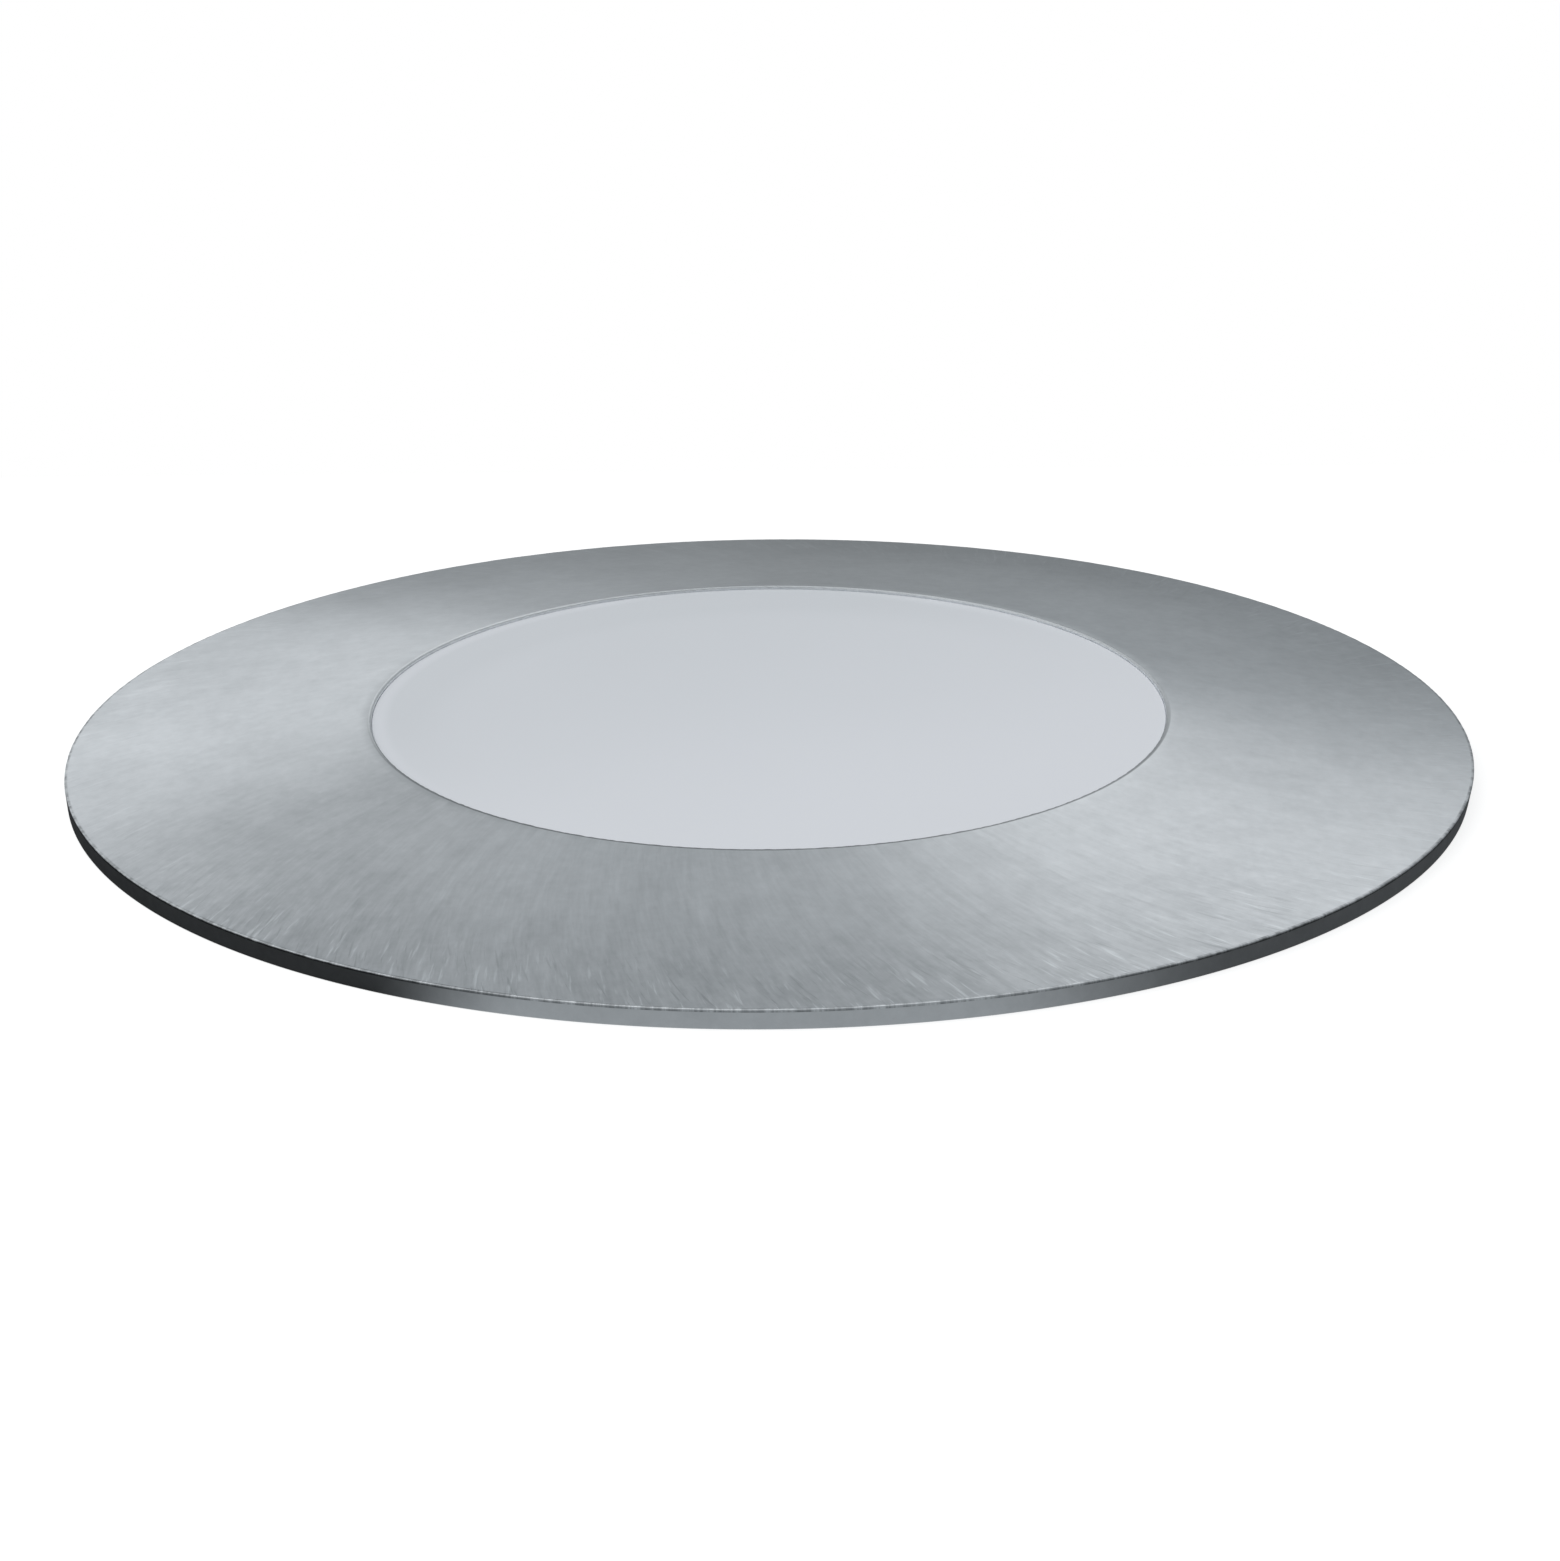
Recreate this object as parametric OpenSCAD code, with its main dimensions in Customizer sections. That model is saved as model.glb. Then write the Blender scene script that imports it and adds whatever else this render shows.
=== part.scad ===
// Recessed floor light: a round stainless trim with a frosted lens over a sealed pot housing,
// held by three leaf springs in a mounting sleeve that is set into the floor.
// The origin is on the light's axis at floor level, +Z points up, and sizes are in millimetres.

/* [Trim ring] */
// Outer diameter of the trim ring
trim_d = 85; // [82:0.5:95]
// Thickness of the trim, which is also the height of its outer edge
trim_t = 1.2; // [0.8:0.1:1.6]
// Height that the trim climbs from its rim to the lens
trim_rise = 3.2; // [2.4:0.1:4]
// Radius of the rounded inner edge of the trim
trim_round = 0.15; // [0.1:0.05:0.5]
// Width of the small break on the outer top edge
trim_break = 0.12; // [0.05:0.01:0.3]

/* [Lens] */
// Width of the lens's clamped lip, round the part of the lens that shows
lens_lip_w = 3.5; // [2:0.1:6]
// Thickness of the lens at its centre
lens_t = 5.1; // [4.6:0.1:6.5]
// How far the lens lies below the trim's inner edge
lens_sink = 0.3; // [0:0.05:0.6]
// Radius of the rounded top edge of the lens
lens_round = 0.25; // [0.1:0.05:0.8]
// Thickness of the flat gasket under the lens
gasket_t = 1; // [0.6:0.1:1.5]
// Thickness of the carrier's lip that holds the lens down
lip_t = 0.9; // [0.7:0.1:1.2]

/* [Housing] */
// Width of the flange round the pot
flange_w = 4.4; // [4.2:0.1:5]
// Wall of the pot
barrel_wall = 2; // [1.6:0.1:2.4]
// Thickness of the flange at the pot's top
flange_t = 3; // [2:0.1:4]
// Thickness of the pot's bottom
bottom_t = 3; // [2.4:0.1:4]
// Width of the chamfer round the pot's bottom
pot_chamfer = 2; // [1:0.25:2.5]
// How far a cooling rib stands out of the pot
rib_h = 2; // [1:0.1:2.4]
// Thickness of a cooling rib
rib_t = 1.4; // [1:0.1:2]
// Cooling ribs between one leaf spring and the next
rib_count = 5; // [3:1:5]
// Angle from one cooling rib to the next
rib_step = 11; // [8:0.5:11]
// Screws that clamp the trim carrier to the flange
ring_screw_count = 6; // [3,6]
// Radius of the ring screws' shank
ring_screw_r = 1.25; // [1:0.05:1.3]
// Radius of the ring screws' head
ring_head_r = 2; // [1.8:0.1:2.1]
// Height of the ring screws' head
ring_head_h = 1.6; // [1.2:0.1:2]

/* [Light engine] */
// Height of the reflector bowl
reflector_h = 13.6; // [11:0.1:16]
// Gap between the light chips and the bowl's foot
foot_gap = 1.88; // [1:0.02:2.4]
// Wall of the reflector
reflector_wall = 1.2; // [0.8:0.1:1.4]
// Thickness of both circuit boards
board_t = 1.6; // [1:0.1:2]
// Thickness of the thermal pad
pad_t = 0.5; // [0.2:0.1:1]
// Side of a light chip
chip_w = 3; // [2.5:0.1:3.2]
// Height of a light chip
chip_h = 0.8; // [0.5:0.1:1.2]
// Light chips in the ring round the middle one
chip_count = 6; // [4:1:6]
// Radius of that ring
chip_ring_r = 5.5; // [5:0.1:6]
// Thickness of the heat sink's plate
sink_t = 2.5; // [2:0.1:4]
// Length of the heat sink's fins
fin_h = 7; // [4:0.5:10]
// Thickness of a fin
fin_t = 1.5; // [1:0.1:2]
// Distance from one fin to the next
fin_pitch = 5; // [4.5:0.25:6]

/* [Driver] */
// Height of the standoffs under the driver board
standoff_h = 9; // [8:0.5:14]
// Height of the tallest part on the driver board
parts_h = 7.5; // [7:0.25:10]
// Free height between the driver's parts and the fins
driver_air = 1.5; // [1:0.25:4]

/* [Cable gland] */
// Diameter of the cable that the gland seals on
cable_d = 6.3; // [5.5:0.1:6.5]
// Diameter of the gland's thread
gland_thread_d = 12; // [11.6:0.1:12.4]
// Distance across the flats of the gland's hexagon
gland_flats = 15; // [14.4:0.1:16]
// Height of the gland's hexagon
gland_hex_h = 2.5; // [2:0.1:4]
// Height of the gland's domed nut
gland_nut_h = 6.6; // [6:0.1:9]
// Thickness of the washer and of the locknut
gland_washer_t = 0.8; // [0.5:0.1:1.2]
// Thickness of the gland's locknut
locknut_t = 2.5; // [2:0.1:3]

/* [Leaf springs] */
// Width of a leaf spring
leaf_w = 9; // [7:0.5:10]
// Thickness of a leaf spring
leaf_t = 0.5; // [0.3:0.05:0.7]
// Height from the spring's root to its knee
leaf_knee_h = 15.4; // [13:0.2:16]
// Share of the knee's height that the free end reaches, where 1 is the knee
leaf_reach = 1.6; // [1.3:0.05:1.65]
// Height of the riveted tab
tab_h = 8; // [7:0.25:9]
// Distance that the tab's pad stands out of the pot
pad_out = 1.2; // [0.8:0.1:1.3]
// Radius of a rivet's head
rivet_head_r = 1.8; // [1.4:0.1:2.2]
// Depth of a rivet in its pad
rivet_depth = 2; // [1.4:0.1:2.1]

/* [Mounting sleeve] */
// Width of the soft gasket between the trim and the floor
floor_gasket_w = 3.6; // [2:0.1:5]
// Wall of the sleeve
sleeve_wall = 2; // [1.5:0.1:2.4]
// Wall of the smooth collar at the sleeve's top
collar_wall = 3.5; // [3.2:0.1:4]
// Height of the collar
collar_h = 8; // [6:0.5:12]
// Free height under the gland for the cable
cable_space = 13.5; // [12:0.5:20]
// Upright ribs round the sleeve
sleeve_rib_count = 12; // [6:1:16]
// Thickness of the sleeve's ribs and anchor rings
sleeve_rib_t = 1.6; // [1.2:0.1:2.4]
// Anchor rings round the sleeve
anchor_count = 2; // [1:1:3]

/* [Clearances] */
// Gap round the lens at the trim
lens_gap = 0.1; // [0.1:0.05:0.25]
// Gap between pieces that are fixed to each other
fit_gap = 0.05; // [0.03:0.01:0.1]
// Gap round the pieces inside the pot
inner_gap = 0.4; // [0.3:0.05:0.5]
// Gap between the circuit boards and the posts
board_gap = 0.7; // [0.4:0.05:1]
// Gap between the light and the sleeve
insert_gap = 0.6; // [0.4:0.05:0.8]
// Gap between a leaf spring's knee and the sleeve
spring_gap = 0.3; // [0.2:0.05:0.4]

/* [Hidden] */
$fn = 96;
eps = 0.01;

// Small steps and insets that the sizes above are set off by
lens_lip_inset = 0.5;
lip_gap = 0.3;
carrier_overhang = 0.7;
gasket_gap = 0.2;
gasket_inset = 1.5;
lens_air = 0.3;
nut_gap = 0.2;
tip_gap = 0.3;
head_air = 0.3;

// Radii from the trim's rim inwards
trim_r = trim_d / 2;
floor_gasket_r = trim_r - gasket_inset;
carrier_r = floor_gasket_r - floor_gasket_w - gasket_gap;
collar_r = carrier_r - carrier_overhang;
sleeve_bore_r = collar_r - collar_wall;
flange_r = sleeve_bore_r - insert_gap;
barrel_r = flange_r - flange_w;
pot_bore_r = barrel_r - barrel_wall;
lens_lip_r = barrel_r - lens_lip_inset;
lens_r = lens_lip_r - lens_lip_w;
aperture_r = lens_r + lens_gap;

// Slope of the trim, and the height of its underside at a radius
trim_slope = trim_rise / (trim_r - aperture_r);
trim_angle = atan(trim_slope);
function under(r) = (trim_r - r) * trim_slope;

// Heights from the top down
lens_top_z = trim_t + trim_rise - lens_sink;
lens_bottom_z = lens_top_z - lens_t;
lens_lip_z = under(lens_lip_r) - lip_t;
seat_z = lens_bottom_z - gasket_t;
flange_z = seat_z - flange_t;
reflector_top_z = lens_bottom_z - lens_air;
engine_z = reflector_top_z - reflector_h;
pad_z = engine_z - board_t - pad_t;
sink_z = pad_z - sink_t;
fins_z = sink_z - fin_h;
driver_z = fins_z - driver_air - parts_h;
pot_floor_z = driver_z - board_t - standoff_h;
pot_z = pot_floor_z - bottom_t;
washer_z = pot_z - gland_washer_t;
hex_z = washer_z - gland_hex_h;
gland_z = hex_z - nut_gap - gland_nut_h;
sleeve_z = gland_z - cable_space;

// Places round the axis
spring_angles = [270, 30, 150];
between_angles = [90, 210, 330];
ring_screw_angles = [for (i = [0:ring_screw_count - 1]) i * 360 / ring_screw_count];
ring_screw_pcr = (barrel_r + flange_r) / 2;
ring_screw_depth = 3;
small_screw_r = 1.2;
small_head_r = 2.1;
board_head_r = 1.9;
small_head_h = 1.5;
post_r = 2.6;
post_wall_gap = 1.1;
pad_inset = 0.5;
led_screw_edge = 3;
standoff_edge = 2.6;
lead_edge = 3.5;
post_pcr = pot_bore_r - post_r - post_wall_gap;
post_thread = 8;
post_web_t = 3;
post_web_step = 1;
rib_foot = 0.5;
led_board_r = post_pcr - small_head_r - board_gap - pad_inset;
led_screw_pcr = led_board_r - led_screw_edge;
driver_r = post_pcr - post_r - board_gap;
standoff_pcr = driver_r - standoff_edge;
standoff_r = 2.25;
standoff_thread = 6;
lead_r = 0.7;
lead_y = driver_r - lead_edge;
lead_half_pitch = 2.54;
lead_lift = 0.6;
lead_clear = 0.6;
sink_fin_gap = 0.9;
sink_fin_r = post_pcr - post_r - sink_fin_gap;
fin_reach = floor((sink_fin_r - fin_t) / fin_pitch);
terminal_w = 8;
terminal_l = 10;
terminal_edge = 6;
terminal_at = [terminal_edge - driver_r, -terminal_l];
terminal_well_r = 1.6;
terminal_mouth = 3;
inductor_at = [8, -6];
inductor_r = 4.8;
capacitor_at = [2.5, 6];
capacitor_r = 4;
can_groove = 0.8;
can_groove_depth = 0.3;
can_break = 0.5;
control_chip_at = [-8, 3.6];
control_chip_size = [5, 4.4, 1.6];
rectifier_at = [6.8, -0.4];
rectifier_size = [4.5, 4, 2.4];

// Reflector: the bowl's inner radius grows as the root of its height, which is a parabola
reflector_foot_r = chip_ring_r + chip_w * sqrt(0.5) + foot_gap;
bowl_top_r = pot_bore_r - inner_gap - lens_air - reflector_wall;
bowl_steps = 10;
function bowl_r(u) = sqrt(pow(reflector_foot_r, 2) + (pow(bowl_top_r, 2) - pow(reflector_foot_r, 2)) * u);
function bowl_z(i) = engine_z + reflector_h * i / bowl_steps;

// Gland radii, and the seal between the body's shoulder and the nut's lip
gland_r = gland_thread_d / 2;
gland_tail_step = 0.4;
gland_tail_r = gland_r - gland_tail_step;
gland_tail_wall = 1.1;
gland_bore_gap = 0.45;
gland_bore_r = cable_d / 2 + gland_bore_gap;
gland_mouth_gap = 0.2;
gland_mouth_r = gland_bore_r + gland_mouth_gap;
gland_dome = 3;
gland_top_out = 1;
nut_break = 0.5;
washer_inset = 0.2;
seal_r = gland_tail_r - gland_tail_wall;
seal_sunk = 0.5;
gland_lip_t = 1.3;
seal_top_z = hex_z - seal_sunk;
seal_bottom_z = gland_z + gland_lip_t + fit_gap;

// Leaf spring: the strip's middle line is a sine bow from its root at the hinge axis
tab_x = barrel_r + pad_out;
root_x = tab_x + leaf_t / 2;
knee_x = sqrt(pow(sleeve_bore_r - spring_gap, 2) - pow(leaf_w / 2, 2)) - leaf_t / 2;
leaf_bow = knee_x - root_x;
root_r = 0.45;
root_gap = 0.1;
pad_margin = 1;
tab_foot = 4;
tab_z = pot_z + tab_foot;
tab_top_z = tab_z + tab_h;
root_z = tab_top_z + root_r + root_gap;
rivet_z = tab_z + tab_h * 0.42;
rivet_shank_r = 1;
rivet_dome = [0, 30];
leaf_steps = 16;
function leaf_x(u) = root_x + leaf_bow * sin(90 * u);
function leaf_tilt(u) = atan2(leaf_bow * cos(90 * u) * PI / 2, leaf_knee_h);
function leaf_side(u, side) = [
  leaf_x(u) + side * leaf_t / 2 * cos(leaf_tilt(u)),
  root_z + leaf_knee_h * u - side * leaf_t / 2 * sin(leaf_tilt(u))
];

function arc_angle(from, to, share) = from + (to - from) * share;
function arc(x, y, r, from, to, steps) = [
  for (i = [0:steps]) [
    x + r * cos(arc_angle(from, to, i / steps)),
    y + r * sin(arc_angle(from, to, i / steps))
  ]
];

// Ribs and anchor rings of the sleeve
sleeve_rib_inset = 0.2;
sleeve_rib_step = 0.1;
sleeve_foot = 4;

module at_angles(angles) {
  for (a = angles) rotate([0, 0, a]) children();
}

module rod(r, z_low, z_high) {
  translate([0, 0, z_low]) cylinder(r = r, h = z_high - z_low);
}

// A screw whose shank goes up from its head's seat when up is 1, and down when it is -1
module screw(shank_r, head_r, head_h, shank_h, seat, up) {
  slot_w = head_r * 0.28;
  slot_h = head_h * 0.45;
  translate([0, 0, seat]) mirror([0, 0, up > 0 ? 0 : 1]) difference() {
    union() {
      rod(shank_r, 0, shank_h);
      rotate_extrude() polygon(concat(
        [[0, 0], [0, -head_h]],
        arc(head_r - head_h * 0.5, -head_h * 0.5, head_h * 0.5, -90, 0, 4),
        [[head_r, 0]]
      ));
    }
    for (a = [0, 90]) rotate([0, 0, a])
      translate([-head_r * 0.6, -slot_w / 2, -head_h - eps])
        cube([head_r * 1.2, slot_w, slot_h]);
  }
}

// Brushed stainless ring, a shallow cone of even thickness that climbs to the lens
module trim_ring() color("silver") {
  corner_x = aperture_r + trim_round;
  corner_z = trim_t + under(corner_x) - trim_round / cos(trim_angle);
  rotate_extrude($fn = 180) polygon(concat(
    [[aperture_r, under(aperture_r)]],
    arc(corner_x, corner_z, trim_round, 180, 90 - trim_angle, 5),
    [
      [trim_r - trim_break, trim_t + under(trim_r - trim_break)],
      [trim_r, trim_t - trim_break],
      [trim_r, 0]
    ]
  ));
}

// Moulded ring under the trim: its lip holds the lens down, and its rim rests on the sleeve
module ring_carrier() color("dimgray") difference() {
  rotate_extrude() polygon([
    [aperture_r, lens_lip_z],
    [lens_lip_r + lip_gap, lens_lip_z],
    [lens_lip_r + lip_gap, seat_z],
    [flange_r, seat_z],
    [flange_r, 0],
    [carrier_r, 0],
    [carrier_r, under(carrier_r) - fit_gap],
    [aperture_r, under(aperture_r) - fit_gap]
  ]);
  at_angles(ring_screw_angles)
    translate([ring_screw_pcr, 0, 0])
      rod(ring_screw_r + fit_gap, seat_z - eps, seat_z + ring_screw_depth);
}

// Soft tapered gasket between the trim's underside and the floor
module floor_gasket() color("black") rotate_extrude() polygon([
  [carrier_r + gasket_gap, 0],
  [floor_gasket_r, 0],
  [floor_gasket_r, under(floor_gasket_r) - fit_gap],
  [carrier_r + gasket_gap, under(carrier_r + gasket_gap) - fit_gap]
]);

// Frosted glass disc with a boss that fills the trim and a lip that is clamped
module lens() color("lightsteelblue") rotate_extrude($fn = 180) polygon(concat(
  [[0, lens_bottom_z], [lens_lip_r, lens_bottom_z], [lens_lip_r, lens_lip_z], [lens_r, lens_lip_z]],
  arc(lens_r - lens_round, lens_top_z - lens_round, lens_round, 0, 90, 5),
  [[0, lens_top_z]]
));

module lens_gasket() color("black") difference() {
  rod(lens_lip_r, seat_z, lens_bottom_z);
  rod(pot_bore_r - inner_gap, seat_z - eps, lens_bottom_z + eps);
}

// Six screws go up through the pot's flange into the carrier, so none shows from above
module ring_screws() color("gainsboro")
  at_angles(ring_screw_angles)
    translate([ring_screw_pcr, 0, 0])
      screw(ring_screw_r, ring_head_r, ring_head_h, flange_t + ring_screw_depth - tip_gap, flange_z, 1);

// Cast pot with a flange, cooling ribs, pads for the springs and posts for the heat sink
module pot_shell() rotate_extrude() polygon([
  [pot_bore_r, seat_z],
  [flange_r, seat_z],
  [flange_r, flange_z],
  [barrel_r, flange_z],
  [barrel_r, pot_z + pot_chamfer],
  [barrel_r - pot_chamfer, pot_z],
  [0, pot_z],
  [0, pot_floor_z],
  [pot_bore_r, pot_floor_z]
]);

module cooling_rib() {
  root = barrel_r - barrel_wall / 2;
  top_z = flange_z + flange_t / 2;
  foot_z = pot_z + pot_chamfer + rib_foot;
  translate([0, rib_t / 2, 0]) rotate([90, 0, 0]) linear_extrude(height = rib_t) polygon([
    [root, top_z],
    [barrel_r + rib_h, top_z],
    [barrel_r + rib_h, foot_z + barrel_r + rib_h - root],
    [root, foot_z]
  ]);
}

module spring_pad() {
  pad_w = leaf_w + 2 * pad_margin;
  root = barrel_r - barrel_wall * 0.75;
  translate([root, -pad_w / 2, tab_z - pad_margin]) cube([tab_x - root, pad_w, tab_h + pad_margin]);
}

module sink_post() {
  foot_z = pot_floor_z - bottom_t / 2;
  rod(post_r, foot_z, sink_z);
  translate([0, -post_web_t / 2, foot_z])
    cube([pot_bore_r + barrel_wall / 2 - post_pcr, post_web_t, sink_z - post_web_step - foot_z]);
}

module housing() color("gray") difference() {
  union() {
    pot_shell();
    at_angles(between_angles)
      at_angles([for (i = [0:rib_count - 1]) (i - (rib_count - 1) / 2) * rib_step]) cooling_rib();
    at_angles(spring_angles) spring_pad();
    at_angles(between_angles) translate([post_pcr, 0, 0]) sink_post();
  }
  at_angles(ring_screw_angles)
    translate([ring_screw_pcr, 0, 0]) rod(ring_screw_r + fit_gap, flange_z - eps, seat_z + eps);
  at_angles(between_angles) translate([post_pcr, 0, 0])
    rod(small_screw_r + fit_gap, sink_z - post_thread, sink_z + eps);
  at_angles(spring_angles) translate([tab_x, 0, rivet_z]) rotate([0, -90, 0])
    rod(rivet_shank_r + fit_gap, -eps, rivet_depth + fit_gap);
  rod(gland_r + fit_gap, pot_z - eps, pot_floor_z + eps);
}

// Bowl whose inside is a parabola, from its foot round the light chips up to the lens.
// It is notched where a screw's head or a lead's end would reach its foot.
module reflector() color("whitesmoke") difference() {
  rotate_extrude() polygon(concat(
    [for (i = [0:bowl_steps]) [bowl_r(i / bowl_steps), bowl_z(i)]],
    [for (i = [bowl_steps:-1:0]) [bowl_r(i / bowl_steps) + reflector_wall, bowl_z(i)]]
  ));
  at_angles(spring_angles) translate([led_screw_pcr, 0, 0])
    rod(board_head_r + head_air, engine_z - eps, engine_z + small_head_h + head_air);
  lead_holes(lead_r + head_air, engine_z - eps, engine_z + lead_lift + head_air);
}

module lead_holes(r, z_low, z_high) {
  for (side = [-1, 1]) translate([side * lead_half_pitch, lead_y, 0]) rod(r, z_low, z_high);
}

module led_board() color("white") difference() {
  rod(led_board_r, engine_z - board_t, engine_z);
  at_angles(spring_angles) translate([led_screw_pcr, 0, 0])
    rod(small_screw_r + fit_gap, engine_z - board_t - eps, engine_z + eps);
  lead_holes(lead_r + fit_gap, engine_z - board_t - eps, engine_z + eps);
}

// Each chip is a square package with a round window in its top
module led_chip() difference() {
  translate([-chip_w / 2, -chip_w / 2, engine_z]) cube([chip_w, chip_w, chip_h]);
  rod(chip_w * 0.38, engine_z + chip_h * 0.75, engine_z + chip_h + eps);
}

module led_chips() color("gold") {
  led_chip();
  at_angles([for (i = [0:chip_count - 1]) i * 360 / chip_count])
    translate([chip_ring_r, 0, 0]) led_chip();
}

module board_screws() color("gainsboro") at_angles(spring_angles)
  translate([led_screw_pcr, 0, 0])
    screw(small_screw_r, board_head_r, small_head_h, board_t + pad_t + sink_t - tip_gap, engine_z, -1);

module thermal_pad() color("lightblue") difference() {
  rod(led_board_r - pad_inset, pad_z, pad_z + pad_t);
  at_angles(spring_angles) translate([led_screw_pcr, 0, 0])
    rod(small_screw_r + fit_gap, pad_z - eps, pad_z + pad_t + eps);
  lead_holes(lead_r + lead_clear, pad_z - eps, pad_z + pad_t + eps);
}

// Extruded plate with straight fins on its underside, screwed to the pot's three posts
module heat_sink() color("lightgray") difference() {
  union() {
    rod(pot_bore_r - inner_gap, sink_z, pad_z);
    intersection() {
      rod(sink_fin_r, fins_z, sink_z + eps);
      for (i = [-fin_reach:fin_reach])
        translate([i * fin_pitch - fin_t / 2, -sink_fin_r, fins_z])
          cube([fin_t, 2 * sink_fin_r, fin_h + eps]);
    }
  }
  at_angles(spring_angles) translate([led_screw_pcr, 0, 0])
    rod(small_screw_r + fit_gap, fins_z - eps, pad_z + eps);
  at_angles(between_angles) translate([post_pcr, 0, 0])
    rod(small_screw_r + fit_gap, fins_z - eps, pad_z + eps);
  lead_holes(lead_r + lead_clear, fins_z - eps, pad_z + eps);
}

module sink_screws() color("gainsboro") at_angles(between_angles)
  translate([post_pcr, 0, 0])
    screw(small_screw_r, small_head_r, small_head_h, sink_t + post_thread - tip_gap, pad_z, -1);

// Two stiff insulated leads from the driver board up to the light board
module link_leads() color("firebrick") for (side = [-1, 1])
  translate([side * lead_half_pitch, lead_y, 0]) rod(lead_r, driver_z - board_t, engine_z + lead_lift);

module standoffs() color("goldenrod") at_angles(spring_angles)
  translate([standoff_pcr, 0, 0]) difference() {
    translate([0, 0, pot_floor_z]) cylinder(r = standoff_r / cos(30), h = standoff_h, $fn = 6);
    rod(small_screw_r + fit_gap, pot_floor_z + standoff_h - standoff_thread, pot_floor_z + standoff_h + eps);
  }

module driver_board() color("darkgreen") difference() {
  rod(driver_r, driver_z - board_t, driver_z);
  at_angles(spring_angles) translate([standoff_pcr, 0, 0])
    rod(small_screw_r + fit_gap, driver_z - board_t - eps, driver_z + eps);
  lead_holes(lead_r + fit_gap, driver_z - board_t - eps, driver_z + eps);
}

module driver_screws() color("gainsboro") at_angles(spring_angles)
  translate([standoff_pcr, 0, 0])
    screw(small_screw_r, small_head_r, small_head_h, board_t + standoff_thread - tip_gap, driver_z, -1);

// Drum core with its winding between two flanges
module inductor() color("darkslategray") translate([inductor_at.x, inductor_at.y, driver_z]) {
  r = inductor_r;
  h = parts_h * 0.8;
  rim = h * 0.2;
  rotate_extrude() polygon([
    [0, 0], [r, 0], [r, rim], [r * 0.8, rim],
    [r * 0.8, h - rim], [r, h - rim], [r, h], [0, h]
  ]);
}

// Round can with the groove above its foot and a broken top edge
module capacitor() color("midnightblue") translate([capacitor_at.x, capacitor_at.y, driver_z]) {
  r = capacitor_r;
  h = parts_h;
  rotate_extrude() polygon([
    [0, 0], [r, 0], [r, can_groove], [r - can_groove_depth, can_groove * 1.5], [r, can_groove * 2],
    [r, h - can_break], [r - can_break, h], [0, h]
  ]);
}

module driver_chips() color("black") {
  translate([control_chip_at.x, control_chip_at.y, driver_z]) cube(control_chip_size);
  translate([rectifier_at.x, rectifier_at.y, driver_z]) cube(rectifier_size);
}

// Screw terminal: two wire mouths in its side and two screw wells in its top
module terminal_block() color("seagreen") {
  w = terminal_w;
  l = terminal_l;
  h = parts_h * 0.95;
  translate([terminal_at.x, terminal_at.y, driver_z]) difference() {
    cube([w, l, h]);
    for (y = [l * 0.27, l * 0.73]) {
      translate([w * 0.6, y, 0]) rod(terminal_well_r, h * 0.55, h + eps);
      translate([-eps, y - terminal_mouth / 2, h * 0.15])
        cube([w * 0.45, terminal_mouth, terminal_mouth]);
    }
  }
}

// Gland from the inside out: locknut, body through the pot's floor, washer, seal and domed nut
module hexagon(flats, z_low, z_high) {
  translate([0, 0, z_low]) cylinder(r = flats / 2 / cos(30), h = z_high - z_low, $fn = 6);
}

module gland_body() color("dimgray") difference() {
  union() {
    rod(gland_r, hex_z + eps, pot_floor_z + locknut_t + gland_top_out);
    hexagon(gland_flats, hex_z, washer_z);
    rod(gland_tail_r, gland_z + gland_lip_t + nut_gap, hex_z + eps);
  }
  rod(gland_bore_r, gland_z, pot_floor_z + locknut_t + gland_top_out + eps);
  rod(seal_r + fit_gap, gland_z - eps, seal_top_z + fit_gap);
}

module gland_washer() color("black") difference() {
  rod(gland_flats / 2 - washer_inset, washer_z, pot_z);
  rod(gland_r + fit_gap, washer_z - eps, pot_z + eps);
}

module gland_seal() color("black") difference() {
  rod(seal_r, seal_bottom_z, seal_top_z);
  rod(cable_d / 2, seal_bottom_z - eps, seal_top_z + eps);
}

module gland_nut() color("dimgray") {
  top_z = hex_z - nut_gap;
  dome_r = gland_flats / 2 / cos(30);
  difference() {
    intersection() {
      hexagon(gland_flats, gland_z, top_z);
      rotate_extrude() polygon(concat(
        [[0, gland_z]],
        arc(dome_r - gland_dome, gland_z + gland_dome, gland_dome, -90, 0, 6),
        [[dome_r, top_z - nut_break], [dome_r - nut_break, top_z], [0, top_z]]
      ));
    }
    rod(gland_mouth_r, gland_z - eps, top_z + eps);
    rod(gland_tail_r + fit_gap, gland_z + gland_lip_t, top_z + eps);
  }
}

module gland_locknut() color("dimgray") difference() {
  hexagon(gland_flats, pot_floor_z, pot_floor_z + locknut_t);
  rod(gland_r + fit_gap, pot_floor_z - eps, pot_floor_z + locknut_t + eps);
}

// Leaf springs: each strip's tab is riveted to its pad, and the bowed leaf flexes at the bend
module spring_tabs() color("silver") at_angles(spring_angles) difference() {
  translate([tab_x, -leaf_w / 2, tab_z]) cube([leaf_t, leaf_w, tab_h]);
  translate([tab_x, 0, rivet_z]) rotate([0, 90, 0])
    rod(rivet_shank_r + fit_gap, -eps, leaf_t + eps);
}

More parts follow.
